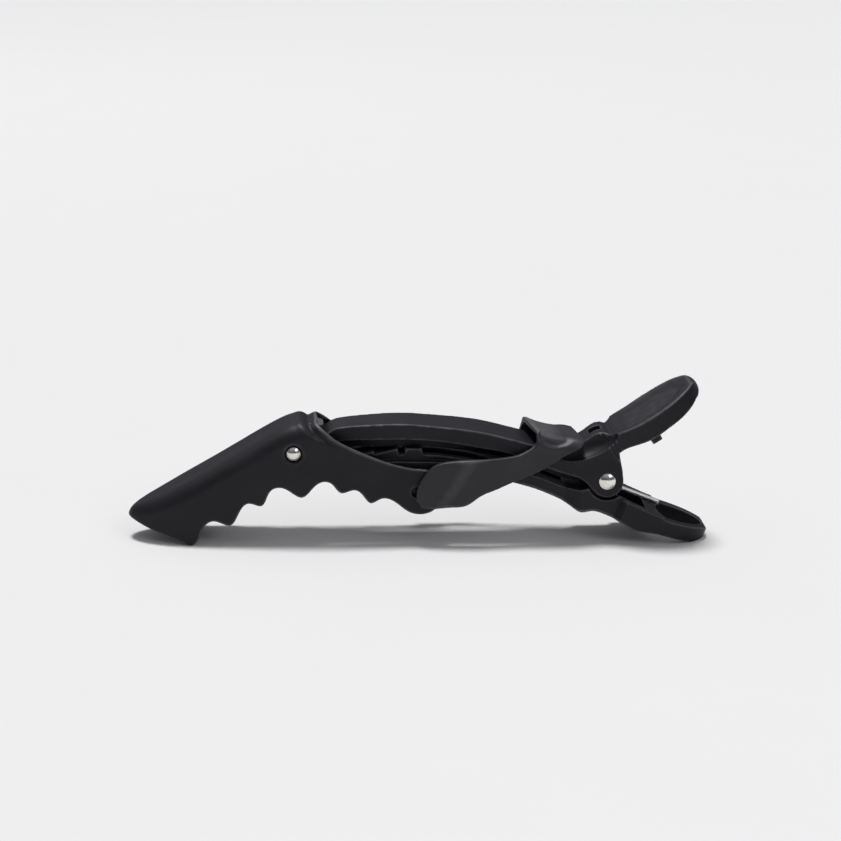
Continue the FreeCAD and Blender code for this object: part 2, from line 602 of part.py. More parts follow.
def strap_form(name, drop, inset):
    """A block under the strap's saddle line with rounded shoulders: the strap's outside or inside."""
    top = [(x, z - drop) for x, z in [*BEFORE_SADDLE, *STRAP_SADDLE, *AFTER_SADDLE]]
    (front, _), (rear, _) = top[0], top[-1]
    side = side_body(f"{name}_side", [
        ("start", top[0]), ("curve", *top[1:]), ("line", (rear, 2.0), (front, 2.0))],
        "dims.thumb_width + 2")
    right = [(x, inset - y) for x, y in STRAP_HALF_WIDTHS]
    left = [(x, -y) for x, y in reversed(right)]
    plan = plan_body(f"{name}_plan", [
        ("start", right[0]), ("curve", *right[1:]), ("line", left[0]), ("curve", *left[1:])],
        RIGHT_THROUGH)
    block = common(f"{name}_block", side, plan)

    def shoulder(edge):
        return abs(middle_of(edge).y) > 4 and middle_of(edge).z > 14 and edge.BoundBox.XLength > 5

    return rounded(f"{name}_form", block, dim("strap_round") - inset, shoulder)


def make_strap():
    """The elastic strap: a band over the arm, two legs and a button through each ear."""
    outline = side_body("strap_side", [
        ("start", STRAP_UPPER[0]), ("curve", *STRAP_UPPER[1:]), ("curve", *STRAP_SADDLE),
        ("line", STRAP_LOWER[0]), ("curve", *STRAP_LOWER[1:])], "dims.thumb_width + 2")
    thick = dim("strap_thick")
    band = cut("strap_band", common("strap_solid", outline, strap_form("strap_outside", 0, 0)),
               strap_form("strap_inside", thick, thick))
    pulled = ("dims.ear_x + dims.neck_pull", "dims.ear_z")
    necks = both_sides("strap_neck", "dims.neck_radius", "dims.neck_length", pulled,
                       "dims.hood_width / 2 - 0.4")
    buttons = both_sides("strap_button", "dims.button_radius", "dims.button_thick", pulled,
                         "dims.button_middle")
    return fuse("elastic_strap", band, *necks, *buttons)


# ---------------------------------------------------------------- build, test and write


def check_and_write(parts):
    doc.recompute()
    for item in doc.Objects:
        if "Invalid" in item.State or "Error" in item.State:
            raise RuntimeError(f"{item.Name}: {item.State}")
    for part in parts:
        shape = part.Shape
        if shape.isNull() or not shape.isValid() or not shape.Solids:
            raise RuntimeError(f"{part.Label} has no valid solid")
        shape.exportStep(f"parts/{part.Label}.step")
        box = shape.BoundBox
        print(f"{part.Label}: {len(shape.Solids)} solid, {shape.Volume:.0f} mm3, "
              f"X {box.XMin:.1f} to {box.XMax:.1f}, Y {box.YMin:.1f} to {box.YMax:.1f}, "
              f"Z {box.ZMin:.1f} to {box.ZMax:.1f}")


check_and_write([
    make_front_jaw(),
    make_upper_arm(),
    make_lower_jaw(),
    make_pin("front_pin", FRONT, "hood_width", "front_head_radius"),
    make_pin("rear_pin", REAR, "arm_width", "rear_head_radius"),
    make_spring(),
    make_strap(),
])
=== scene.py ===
"""Looks of the sectioning clip: a rounded, detailed mesh for each of its seven pieces, their materials
and the studio.

Shapes are worked out in millimetres in the frame of the CAD model and scaled to metres at the end. A pair
of numbers named as a span is where a smooth step starts and where it ends, and a swelling is a height, the
place of its middle and its width.
"""
import math

import bpy
import numpy as np
from mathutils import Euler, Matrix, Vector
from mathutils.kdtree import KDTree


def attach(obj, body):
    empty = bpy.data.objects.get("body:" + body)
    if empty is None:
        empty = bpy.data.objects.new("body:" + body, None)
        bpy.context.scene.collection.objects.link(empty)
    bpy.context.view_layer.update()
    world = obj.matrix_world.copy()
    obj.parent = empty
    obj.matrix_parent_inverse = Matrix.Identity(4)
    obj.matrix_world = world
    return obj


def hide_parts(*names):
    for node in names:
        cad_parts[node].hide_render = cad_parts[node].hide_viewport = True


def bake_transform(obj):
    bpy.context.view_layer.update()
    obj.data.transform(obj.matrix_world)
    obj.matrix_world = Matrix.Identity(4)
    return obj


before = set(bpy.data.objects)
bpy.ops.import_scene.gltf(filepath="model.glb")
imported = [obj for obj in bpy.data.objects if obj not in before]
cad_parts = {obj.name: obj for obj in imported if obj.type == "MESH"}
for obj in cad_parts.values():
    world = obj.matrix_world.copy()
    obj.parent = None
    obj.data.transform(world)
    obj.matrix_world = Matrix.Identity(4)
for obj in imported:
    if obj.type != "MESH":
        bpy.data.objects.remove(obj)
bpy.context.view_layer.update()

MM = 0.001
FULL_TURN = 2 * math.pi

# Both hinge axes run along Y through these (X, Z) places.
FRONT_PIN = (-24.7, 18.6)
REAR_PIN = (37.1, 12.7)

# Remeshing, and the smoothing steps that pull a surface in and push it out again.
VOXEL = 0.145
WELD_DISTANCE = 0.0005
SKIN = 0.3 * VOXEL
PULL_IN, PUSH_OUT = 0.55, 0.57

# A vertex is fully worn, and gets the full painted edge highlight, where it stands this far out of its
# surroundings.
EDGE_REACH = 0.07
SURROUNDING_ROUNDS = 5
BLUR_ROUNDS = 2

# ---------------------------------------------------------------- mesh tools


def smoothstep(low, high, value):
    """0 at low and before it, 1 at high and beyond it, smooth between; low may be the larger."""
    t = np.clip((value - low) / (high - low), 0, 1)
    return t * t * (3 - 2 * t)


def bump_curve(value, centre, width):
    return np.exp(-((value - centre) / width) ** 2)


def swelling(value, height, centre, width):
    """A rounded rise, or a hollow where the height is negative."""
    return height * bump_curve(value, centre, width)


def line_distance(points, line):
    """Distance of 2-D points from a polyline."""
    best = np.full(len(points), 1e9)
    for a, b in zip(line, line[1:]):
        a, b = np.array(a, float), np.array(b, float)
        t = np.clip(((points - a) @ (b - a)) / ((b - a) @ (b - a)), 0, 1)
        best = np.minimum(best, np.linalg.norm(points - (a + t[:, None] * (b - a)), axis=1))
    return best


def tilted_up(degrees):
    """The upward normal of a face that rises by this angle towards +X."""
    return np.array([-math.sin(math.radians(degrees)), 0.0, math.cos(math.radians(degrees))])


def resample(points, step):
    """Points every step along the straight stretches between the given ones."""
    points = np.asarray(points, float)
    lengths = np.concatenate([[0], np.cumsum(np.linalg.norm(np.diff(points, axis=0), axis=1))])
    at = np.linspace(0, lengths[-1], max(3, int(lengths[-1] / step)))
    return np.stack([np.interp(at, lengths, points[:, k]) for k in range(3)], axis=1)


def new_object(name, points, faces):
    """A mesh object from points in millimetres."""
    mesh = bpy.data.meshes.new(name)
    mesh.from_pydata([tuple(p) for p in points], [], [tuple(f) for f in faces])
    mesh.update()
    obj = bpy.data.objects.new(name, mesh)
    bpy.context.scene.collection.objects.link(obj)
    return obj


def copy_of(node, name):
    """A copy of a CAD node's mesh, in millimetres, for the piece that stands for it."""
    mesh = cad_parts[node].data.copy()
    mesh.name = name
    mesh.materials.clear()
    mesh.transform(Matrix.Scale(1 / MM, 4))
    obj = bpy.data.objects.new(name, mesh)
    bpy.context.scene.collection.objects.link(obj)
    return obj


def apply_modifiers(obj):
    graph = bpy.context.evaluated_depsgraph_get()
    mesh = bpy.data.meshes.new_from_object(obj.evaluated_get(graph))
    obj.modifiers.clear()
    old = obj.data
    obj.data = mesh
    bpy.data.meshes.remove(old)


def weld(obj):
    modifier = obj.modifiers.new("weld", "WELD")
    modifier.merge_threshold = WELD_DISTANCE
    apply_modifiers(obj)


def remesh(obj):
    modifier = obj.modifiers.new("voxels", "REMESH")
    modifier.mode = "VOXEL"
    modifier.voxel_size = VOXEL
    modifier.adaptivity = 0
    apply_modifiers(obj)


def get_points(obj):
    co = np.empty(len(obj.data.vertices) * 3)
    obj.data.vertices.foreach_get("co", co)
    return co.reshape(-1, 3)


def set_points(obj, points):
    obj.data.vertices.foreach_set("co", np.asarray(points, dtype=np.float64).ravel())
    obj.data.update()


def get_normals(obj):
    out = np.empty(len(obj.data.vertices) * 3)
    obj.data.vertex_normals.foreach_get("vector", out)
    return out.reshape(-1, 3)


def swell(obj, amount):
    """Moves the surface out by as much as smoothing has taken off it."""
    set_points(obj, get_points(obj) + get_normals(obj) * amount)


def neighbour_mean(obj):
    """A function that gives each vertex the mean of its neighbours' values."""
    mesh = obj.data
    edges = np.empty(len(mesh.edges) * 2, dtype=np.int64)
    mesh.edges.foreach_get("vertices", edges)
    a, b = edges.reshape(-1, 2).T
    count = np.bincount(np.concatenate([a, b]), minlength=len(mesh.vertices)).clip(1)

    def mean(values):
        total = np.empty_like(values)
        for k in range(values.shape[1]):
            total[:, k] = (np.bincount(a, weights=values[b, k], minlength=len(values))
                           + np.bincount(b, weights=values[a, k], minlength=len(values)))
        return total / count[:, None]

    return mean


def relax(obj, rounds, where=None):
    """Taubin smoothing, which rounds edges without shrinking the piece; where weights each vertex."""
    mean = neighbour_mean(obj)
    points = get_points(obj)
    weight = 1.0 if where is None else where(points)[:, None]
    for _ in range(rounds):
        points = points + PULL_IN * weight * (mean(points) - points)
        points = points - PUSH_OUT * weight * (mean(points) - points)
    set_points(obj, points)


def rounded_copy(node, name, rounds):
    """A copy of a CAD node as one even skin with rounded edges."""
    obj = copy_of(node, name)
    weld(obj)
    remesh(obj)
    relax(obj, rounds)
    return obj


def thin_towards(points, outer, moving, share):
    """Pulls the moving vertices towards the nearest outer one by their share, which thins a wall from
    inside. Also gives each moving vertex's depth below the outer ones before that."""
    tree = KDTree(int(outer.sum()))
    for index in np.flatnonzero(outer):
        tree.insert(points[index], int(index))
    tree.balance()
    points = points.copy()
    depth = np.zeros(len(points))
    for index in np.flatnonzero(moving):
        nearest, _, depth[index] = tree.find(points[index])
        points[index] += share[index] * (np.array(nearest) - points[index])
    return points, depth


def mark_edges(obj):
    """Stores how far each vertex stands out of its surroundings, for the wear and the painted edge highlights
    in the materials.
    """
    mean = neighbour_mean(obj)
    points = get_points(obj)
    smooth = points
    for _ in range(SURROUNDING_ROUNDS):
        smooth = mean(smooth)
    stand = ((points - smooth) * get_normals(obj)).sum(1) / EDGE_REACH
    for _ in range(BLUR_ROUNDS):
        stand = mean(stand[:, None])[:, 0]
    attribute = obj.data.attributes.new("edge", "FLOAT", "POINT")
    attribute.data.foreach_set("value", np.clip(stand, -1, 1).astype(np.float32))


def add_wear_and_highlight(obj, amount, keep=1.0):
    """Adds to the wear and painted highlights stored by mark_edges, of which a share is kept."""
    attribute = obj.data.attributes["edge"]
    values = np.empty(len(obj.data.vertices), dtype=np.float32)
    attribute.data.foreach_get("value", values)
    attribute.data.foreach_set("value", np.clip(keep * values + amount, -1, 1).astype(np.float32))


def finish_piece(obj, material, body=None):
    """To metres, smooth, with its material, and riding on its body."""
    obj.data.transform(Matrix.Scale(MM, 4))
    obj.data.polygons.foreach_set("use_smooth", [True] * len(obj.data.polygons))
    obj.data.materials.clear()
    obj.data.materials.append(material)
    obj.data.update()
    if body:
        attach(obj, body)


def tube(name, path, radius, sides):
    """A round wire along a path, with parallel-transported rings and flat ends."""
    path = np.asarray(path, float)
    tangents = np.gradient(path, axis=0)
    tangents /= np.linalg.norm(tangents, axis=1)[:, None]
    across = np.cross(tangents[0], (0.0, 0.0, 1.0))
    if np.linalg.norm(across) < 0.1:
        across = np.cross(tangents[0], (1.0, 0.0, 0.0))
    across /= np.linalg.norm(across)
    points, faces = [], []
    angles = np.linspace(0, FULL_TURN, sides, endpoint=False)
    for place, tangent in zip(path, tangents):
        across = across - tangent * (across @ tangent)
        across /= np.linalg.norm(across)
        other = np.cross(tangent, across)
        points.extend(place + radius * (math.cos(t) * across + math.sin(t) * other) for t in angles)
    for ring in range(len(path) - 1):
        for k in range(sides):
            a, b = ring * sides + k, ring * sides + (k + 1) % sides
            faces.append((a, b, b + sides, a + sides))
    faces.append(tuple(reversed(range(sides))))
    faces.append(tuple(range((len(path) - 1) * sides, len(path) * sides)))
    return new_object(name, points, faces)


def lathe(name, profile, centre, sides=96):
    """A turned piece about an axis along Y at centre; profile is (Y, radius) pairs from end to end."""
    points, faces = [], []
    angles = np.linspace(0, FULL_TURN, sides, endpoint=False)
    for y, radius in profile:
        points.extend((centre[0] + radius * math.cos(t), y, centre[1] + radius * math.sin(t)) for t in angles)
    for ring in range(len(profile) - 1):
        for k in range(sides):
            a, b = ring * sides + k, ring * sides + (k + 1) % sides
            faces.append((a, a + sides, b + sides, b))
    faces.append(tuple(range(sides)))
    faces.append(tuple(reversed(range((len(profile) - 1) * sides, len(profile) * sides))))
    return new_object(name, points, faces)


# ---------------------------------------------------------------- materials


def set_stops(ramp, stops):
    """Gives a colour ramp its (position, colour or grey) stops."""
    elements = ramp.color_ramp.elements
    while len(elements) < len(stops):
        elements.new(0.5)
    for element, (position, colour) in zip(elements, stops):
        grey = (colour,) * 3 if isinstance(colour, (int, float)) else colour
        element.position = position
        element.color = (*grey, 1.0)


class Nodes:
    """Short names for building one node material."""

    def __init__(self, name):
        self.material = bpy.data.materials.new(name)
        self.material.use_nodes = True
        self.tree = self.material.node_tree
        self.shader = self.tree.nodes["Principled BSDF"]

    def add(self, kind, inputs=None, **settings):
        node = self.tree.nodes.new(kind)
        for key, value in settings.items():
            setattr(node, key, value)
        for key, value in (inputs or {}).items():
            if isinstance(value, bpy.types.NodeSocket):
                self.tree.links.new(value, node.inputs[key])
            else:
                node.inputs[key].default_value = value
        return node

    def link(self, output, socket):
        self.tree.links.new(output, self.shader.inputs[socket])

    def set(self, socket, value):
        self.shader.inputs[socket].default_value = value

    def noise(self, scale, detail=4.0, roughness=0.55, stretch=None):
        vector = self.add("ShaderNodeTexCoord").outputs["Object"]
        if stretch is not None:
            vector = self.add("ShaderNodeMapping", {"Vector": vector, "Scale": stretch}).outputs["Vector"]
        return self.add("ShaderNodeTexNoise", {"Vector": vector, "Scale": scale, "Detail": detail,
                                               "Roughness": roughness}).outputs["Fac"]

    def curve(self, value, *stops):
        """A colour ramp of (position, colour or grey) stops."""
        ramp = self.add("ShaderNodeValToRGB", {"Fac": value})
        set_stops(ramp, stops)
        return ramp.outputs["Color"]

    def mix(self, factor, a, b):
        """A mix of two colours, each a socket or a plain colour."""
        colours = [c if isinstance(c, bpy.types.NodeSocket) else (*c, 1.0) for c in (a, b)]
        node = self.add("ShaderNodeMix", data_type="RGBA")
        for index, value in ((0, factor), (6, colours[0]), (7, colours[1])):
            if isinstance(value, bpy.types.NodeSocket):
                self.tree.links.new(value, node.inputs[index])
            else:
                node.inputs[index].default_value = value
        return node.outputs[2]

    def maths(self, operation, a, b):
        return self.add("ShaderNodeMath", {0: a, 1: b}, operation=operation).outputs[0]

    def bump(self, height, strength, distance, normal=None):
        inputs = {"Height": height, "Strength": strength, "Distance": distance}
        if normal is not None:
            inputs["Normal"] = normal
        return self.add("ShaderNodeBump", inputs).outputs["Normal"]


# Depths of the fine relief, in metres, and how much the worn edges and painted highlights lighten the colour
# and smooth the surface.
GRAIN_DEPTH = 0.00004
SCRATCH_DEPTH, SCRATCH_STRENGTH = 0.00002, 0.05
DRAWN_DEPTH, DRAWN_STRENGTH = 0.00001, 0.12
WEAR_AND_HIGHLIGHT_LIGHTEN = 0.6
WEAR_POLISHES = 0.08


def moulded(name, dark, light, rough, grain, worn_and_lit, specular, patchy):
    """Satin moulded plastic or rubber: fine grain, flow tones, handling marks, scratches, and worn edges with
    painted highlights.
    """
    n = Nodes(name)
    edge = n.add("ShaderNodeAttribute", attribute_name="edge", attribute_type="GEOMETRY").outputs["Fac"]
    tones = n.noise(90, 3.0)
    fine = n.noise(2600, 2.0, 0.5)
    smear = n.noise(240, 5.0, 0.6, (0.35, 1.0, 1.0))
    base = n.mix(n.curve(tones, (0.35, 0.0), (0.7, 1.0)), dark, light)
    patches = n.curve(n.noise(700, 4.0), (0.35, patchy), (0.65, 1.0))
    # The edge attribute holds wear and painted highlights; where it is high the colour is lightened towards
    # the worn and lit colour.
    wear_and_highlight = n.curve(n.maths("MULTIPLY", edge, patches), (0.30, 0.0), (0.95, 1.0))
    n.link(n.mix(n.maths("MULTIPLY", wear_and_highlight, WEAR_AND_HIGHLIGHT_LIGHTEN), base, worn_and_lit), "Base Color")
    low, high = rough
    polish = n.curve(smear, (0.3, low), (0.72, high))
    n.link(n.maths("SUBTRACT", polish, n.maths("MULTIPLY", wear_and_highlight, WEAR_POLISHES)), "Roughness")
    scratches = n.curve(n.noise(900, 2.0, 0.4, (0.06, 1.0, 1.0)), (0.62, 0.0), (0.7, 1.0))
    grained = n.bump(fine, grain, GRAIN_DEPTH)
    n.link(n.bump(scratches, SCRATCH_STRENGTH, SCRATCH_DEPTH, grained), "Normal")
    n.set("Specular IOR Level", specular)
    n.set("Coat Weight", 0.0)
    return n.material


def metal(name, colour, stained, rough, stretch, metallic):
    """Plated or drawn metal: cloudy tarnish, uneven polish and fine drawing lines."""
    n = Nodes(name)
    cloud = n.noise(900, 5.0, 0.6)
    n.link(n.mix(n.curve(cloud, (0.4, 0.0), (0.75, 1.0)), colour, stained), "Base Color")
    low, high = rough
    n.link(n.curve(n.noise(1500, 4.0), (0.3, low), (0.75, high)), "Roughness")
    n.link(n.bump(n.noise(3000, 2.0, 0.5, stretch), DRAWN_STRENGTH, DRAWN_DEPTH), "Normal")
    n.set("Metallic", metallic)
    return n.material


# Each one's lighter edge colour stands for wear and also for painted edge highlights.
BLACK = moulded("black_plastic_satin", dark=(0.0056, 0.0051, 0.0078), light=(0.0088, 0.0081, 0.0118),
                rough=(0.44, 0.56), grain=0.16, worn_and_lit=(0.135, 0.130, 0.140), specular=0.27, patchy=0.75)
RUBBER = moulded("black_rubber_smooth", dark=(0.0110, 0.0105, 0.0150), light=(0.0170, 0.0164, 0.0225),
                 rough=(0.46, 0.58), grain=0.10, worn_and_lit=(0.125, 0.115, 0.125), specular=0.42, patchy=0.8)
PLATED = metal("plated_pin_polished", colour=(0.83, 0.81, 0.77), stained=(0.55, 0.52, 0.46),
               rough=(0.10, 0.26), stretch=(1.0, 1.0, 1.0), metallic=1.0)
WIRE = metal("spring_wire_drawn", colour=(0.94, 0.94, 0.93), stained=(0.80, 0.79, 0.77),
             rough=(0.30, 0.42), stretch=(0.3, 0.3, 0.3), metallic=0.8)

# ---------------------------------------------------------------- the hood

# The rim as seen from the side, from the crown down to the ear, and the height of the hood's long axis.
RIM = [(-21.4, 25.4), (-20.6, 24.3), (-19.9, 23.6), (-18.7, 22.8), (-16.7, 21.5), (-13.8, 19.9),
       (-10.8, 18.6), (-6.9, 17.1), (-3.0, 16.0), (-0.8, 15.6), (1.3, 15.4)]
HOOD_AXIS_Z = 17.0

# Heights between which the work on the rim, and the collar behind the crown, come in.
ABOVE_EARS = (13.5, 17.0)
COLLAR_RISE = (19.6, 22.8)

# Swellings by the distance from the rim.
VALLEY = (-0.50, 1.15, 0.5)
RIDGE = (0.14, 2.5, 0.6)
BEAD = (0.26, -0.1, 0.55)
# A painted highlight along the rim's edge.
RIM_PAINTED_HIGHLIGHT = (1.1, 0.0, 0.28)

# How squarely a surface faces away from the axis where it counts as the outside.
OUTSIDE = (0.6, 0.8)
OUTER_FACE = 0.8
# How squarely a surface faces outward where the rim's painted highlight lies.
RIM_HIGHLIGHT_FACING = (0.55, 0.8)

# The seats of the front pin's heads, sunk into the flanks.
SEAT_DEPTH = 0.42
SEAT_WALL = (2.0, 1.75)
SEAT_FACE = (0.5, 0.9)
SEAT_HALF_WIDTH = 5.2

# The share by which the walls are thinned, and the distances from the rim that take part in it.
THINNED = 0.75
THINNED_SPAN = (2.6, 0.4)
OUTER_REACH, INNER_REACH = 5.5, 4.5

# The roof between its corners: its end face is set back by its depth, and its underside is raised.
ROOF_HEIGHT = (21.0, 21.8)
ROOF_SIDE = (5.0, 4.5)
ROOF_THICKNESS = 1.1
SET_BACK = 2.2
SET_BACK_SPAN = (4.2, 0.3)
RAISED_FROM, RAISED_MOST = 0.8, 2.5
RAISED_SPAN = (4.2, 2.2)

# The crown's rim is moved towards the arm.
CROWN_SHIFT = 0.30
CROWN_HEIGHT = (21.5, 23.5)
CROWN_SPAN = (2.4, 0.4)

# The last smoothing, by the distance from the rim, and only above this height.
SMOOTHED_SPAN = (1.3, 0.5)
SMOOTHED_ABOVE = 9


def from_hood_axis(points):
    """The direction from the hood's long axis to each point, square to the axis."""
    out = np.stack([np.zeros(len(points)), points[:, 1], points[:, 2] - HOOD_AXIS_Z], axis=1)
    return out / np.linalg.norm(out, axis=1)[:, None].clip(1e-6)


def hood_relief(points, normals, outward, away, high):
    """How far the hood's surface moves out: valley and ridge before the rim, bead on it, sunk pin seats."""
    collar = swelling(away, *VALLEY) + swelling(away, *RIDGE)
    relief = np.clip(outward, 0, 1) ** 0.5 * collar * smoothstep(*COLLAR_RISE, points[:, 2])
    relief += smoothstep(*OUTSIDE, outward) * swelling(away, *BEAD) * high
    from_pin = np.hypot(points[:, 0] - FRONT_PIN[0], points[:, 2] - FRONT_PIN[1])
    flank = smoothstep(*SEAT_FACE, normals[:, 1] * np.sign(points[:, 1]))
    seat = smoothstep(*SEAT_WALL, from_pin) * flank * (np.abs(points[:, 1]) > SEAT_HALF_WIDTH)
    return relief - SEAT_DEPTH * seat


def thin_rim(points, outward, away, high):
    """Thins the walls at the rim, sets the roof's end back below its edge and moves the crown's rim."""
    roof = smoothstep(*ROOF_HEIGHT, points[:, 2]) * smoothstep(*ROOF_SIDE, np.abs(points[:, 1]))
    share = THINNED * smoothstep(*THINNED_SPAN, away) * high * (1 - roof)
    outer = (outward > OUTER_FACE) & (away < OUTER_REACH)
    inner = (outward < OUTER_FACE) & (away < INNER_REACH)
    points, depth = thin_towards(points, outer, inner, share)
    set_back = SET_BACK * np.clip(depth, 0, ROOF_THICKNESS)
    raised = np.clip(depth - RAISED_FROM, 0, RAISED_MOST)
    points[:, 0] -= roof * set_back * smoothstep(*SET_BACK_SPAN, away)
    points[:, 2] += roof * raised * smoothstep(*RAISED_SPAN, away)
    points[:, 0] += CROWN_SHIFT * smoothstep(*CROWN_HEIGHT, points[:, 2]) * smoothstep(*CROWN_SPAN, away)
    return points


def near_rim(points):
    """The weight of the rim's last smoothing, which leaves the ears' lower edges alone."""
    away = line_distance(points[:, [0, 2]], RIM)
    return smoothstep(*SMOOTHED_SPAN, away) * (points[:, 2] > SMOOTHED_ABOVE)


def make_hood():
    """The CAD hood with rounded edges, a thin beaded rim, a collar before it and sunk pin seats."""
    hood = rounded_copy("front_jaw", "hood_moulding", rounds=5)
    points, normals = get_points(hood), get_normals(hood)
    away = line_distance(points[:, [0, 2]], RIM)
    high = smoothstep(*ABOVE_EARS, points[:, 2])
    out = from_hood_axis(points)
    outward = (out * normals).sum(1)
    relief = hood_relief(points, normals, outward, away, high)
    set_points(hood, thin_rim(points, outward, away, high) + normals * relief[:, None])
    relax(hood, rounds=2)
    relax(hood, rounds=8, where=near_rim)
    swell(hood, SKIN)
    mark_edges(hood)
    # A painted highlight along the rim's outer edge only, so the rim's end face stays dark.
    outer_edge = smoothstep(*RIM_HIGHLIGHT_FACING, (out * get_normals(hood)).sum(1))
    add_wear_and_highlight(hood, swelling(away, *RIM_PAINTED_HIGHLIGHT) * high * outer_edge)
    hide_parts("front_jaw")
    finish_piece(hood, BLACK, "hood")


make_hood()

# ---------------------------------------------------------------- the arm

# The thumb plate: where its face starts, its slope in degrees, and its outline, straight and then round.
THUMB_ORIGIN = (37.9, 22.0)
THUMB_TILT = 33.7
THUMB_HALF_WIDTH = 7.8
THUMB_STRAIGHT = 10.0
THUMB_ROUND = 8.8
THUMB_FACING = (0.75, 0.95)
THUMB_LEVEL = (-1.3, -0.7)
# How much lighter the thumb plate's face is made, and where along the plate that begins.
THUMB_LIGHTENING = 0.44
THUMB_LIGHTENING_START = (1.0, 4.0)

# The dish in its face, by the share of the half width from the edge and by the place along the plate.
DISH_DEPTH = 0.42
DISH_WALL = (0.07, 0.42)
DISH_START = (1.2, 5.0)

# The tip is drawn out along the plate.
TIP_MOVE = np.array([0.465, 0, 0.19])
TIP_SPAN = (11.0, 18.5)

# Two ribs run down each flank of the neck, at these distances from its line.
NECK_LINE = [(35.6, 23.6), (36.9, 21.7), (39.6, 18.0)]
NECK_START = (34.0, 35.0)
NECK_RIBS = ((0.16, 0.0, 0.26), (0.16, 0.95, 0.26))
FLANK_FACING = (0.6, 0.9)

# The slot above the spring is wider than the CAD's.
SLOT_START, SLOT_END = (33.2, 33.6), (36.8, 36.3)
SLOT_HALF_WIDTH = 1.3
SLOT_FLOOR_Z = 18.5
SLOT_FACING = (0.3, 0.8)
SLOT_WIDENING = 0.55


def along_thumb(points):
    """Position along the thumb plate and height above its face."""
    tilt = math.radians(THUMB_TILT)
    dx, dz = points[:, 0] - THUMB_ORIGIN[0], points[:, 2] - THUMB_ORIGIN[1]
    return dx * math.cos(tilt) + dz * math.sin(tilt), dz * math.cos(tilt) - dx * math.sin(tilt)


def make_arm():
    """The CAD arm with rounded edges, a dished thumb face with a raised rim, and ribs at its neck."""
    arm = rounded_copy("upper_arm", "arm_moulding", rounds=9)
    points, normals = get_points(arm), get_normals(arm)
    along, above = along_thumb(points)
    beyond = np.maximum(along - THUMB_STRAIGHT, 0) / THUMB_ROUND
    from_edge = 1 - np.sqrt(np.clip(beyond ** 2 + (points[:, 1] / THUMB_HALF_WIDTH) ** 2, 0, 1))
    face = smoothstep(*THUMB_FACING, normals @ tilted_up(THUMB_TILT)) * smoothstep(*THUMB_LEVEL, above)
    dish = -DISH_DEPTH * smoothstep(*DISH_WALL, from_edge) * smoothstep(*DISH_START, along) * face
    away = line_distance(points[:, [0, 2]], NECK_LINE)
    flank = smoothstep(*FLANK_FACING, np.abs(normals[:, 1])) * smoothstep(*NECK_START, points[:, 0])
    ribs = flank * sum(swelling(away, *rib) for rib in NECK_RIBS)
    points = points + normals * (dish + ribs)[:, None]
    points += smoothstep(*TIP_SPAN, along)[:, None] * TIP_MOVE

    x, y, z = points.T.copy()
    slot = smoothstep(*SLOT_START, x) * smoothstep(*SLOT_END, x)
    slot *= (np.abs(y) < SLOT_HALF_WIDTH) & (z > SLOT_FLOOR_Z)
    facing_in = smoothstep(*SLOT_FACING, -normals[:, 1] * np.sign(y))
    points[:, 1] += SLOT_WIDENING * slot * facing_in * np.sign(y)
    set_points(arm, points)
    relax(arm, rounds=1)
    swell(arm, SKIN)
    mark_edges(arm)
    # The thumb plate's face is made lighter.
    add_wear_and_highlight(arm, THUMB_LIGHTENING * face * smoothstep(*THUMB_LIGHTENING_START, along))
    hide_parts("upper_arm")
    finish_piece(arm, BLACK, "arm")


make_arm()

# ---------------------------------------------------------------- the lower jaw

BELLY_DEPTH = 0.30
BELLY_START, BELLY_END = (17.0, 22.0), (43.0, 38.0)
BELLY_FACING = (0.2, 0.7)
LOOP_STRETCH = 0.55
LOOP_SPAN = (46.0, 57.0)


def make_jaw():
    """The CAD jaw with rounded edges, a fuller belly under the hinge and a slightly longer finger loop."""
    jaw = rounded_copy("lower_jaw", "jaw_moulding", rounds=7)
    points, normals = get_points(jaw), get_normals(jaw)
    x = points[:, 0].copy()
    belly = smoothstep(*BELLY_START, x) * smoothstep(*BELLY_END, x)
    points[:, 2] -= BELLY_DEPTH * belly * smoothstep(*BELLY_FACING, -normals[:, 2])
    points[:, 0] += LOOP_STRETCH * smoothstep(*LOOP_SPAN, x)
    set_points(jaw, points)
    swell(jaw, SKIN)
    mark_edges(jaw)
    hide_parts("lower_jaw")
    finish_piece(jaw, BLACK, "jaw")


make_jaw()

# ---------------------------------------------------------------- the strap

# Legs, below the saddle, swell at the ear and narrow above it, by the place along the clip.
LEG_TOP = (20.5, 17.5)
EAR_PAD = (0.32, 8.6, 3.0)
LEG_WAIST = (-0.12, 15.5, 2.6)

# The fold between leg and saddle, as seen from the side, and its swellings by the distance from it.
CREASE = [(21.9, 22.6), (22.3, 21.9), (23.0, 21.2), (24.4, 20.6), (25.8, 20.5), (27.4, 20.9), (28.6, 21.6)]
FOLD = (-0.28, 0.0, 0.6)
FOLD_LIP = (0.16, 0.9, 0.6)
FOLD_START, FOLD_END = (21.2, 22.4), (29.5, 27.5)

# The saddle sits askew on the arm, and its front lip leans back.
SADDLE_HEIGHT, SADDLE_START = (17.5, 21.0), (13.0, 19.0)
SADDLE_SHIFT = 0.35
SADDLE_SKEW = -0.14
LIP_LEAN = 0.7
LIP_HEIGHT, LIP_SPAN = (21.5, 23.5), (25.0, 20.5)

# The saddle's upward top is painted lighter where light falls on it, and a painted sheen runs up each leg
# from its place at a height along a slope.
SADDLE_PAINTED_LIGHT = 0.75
SADDLE_LIT_FACING = (0.5, 0.85)
SADDLE_LIT_START, SADDLE_LIT_END = (18.5, 20.5), (31.0, 25.0)
SHEEN = 0.5
SHEEN_X, SHEEN_Z = 6.0, 11.0
SHEEN_SLOPE = 0.62
SHEEN_WIDTH = 2.6
# The share of the edge wear and painted edge highlights that the strap keeps.
EDGE_WEAR_AND_HIGHLIGHT_KEPT = 0.5


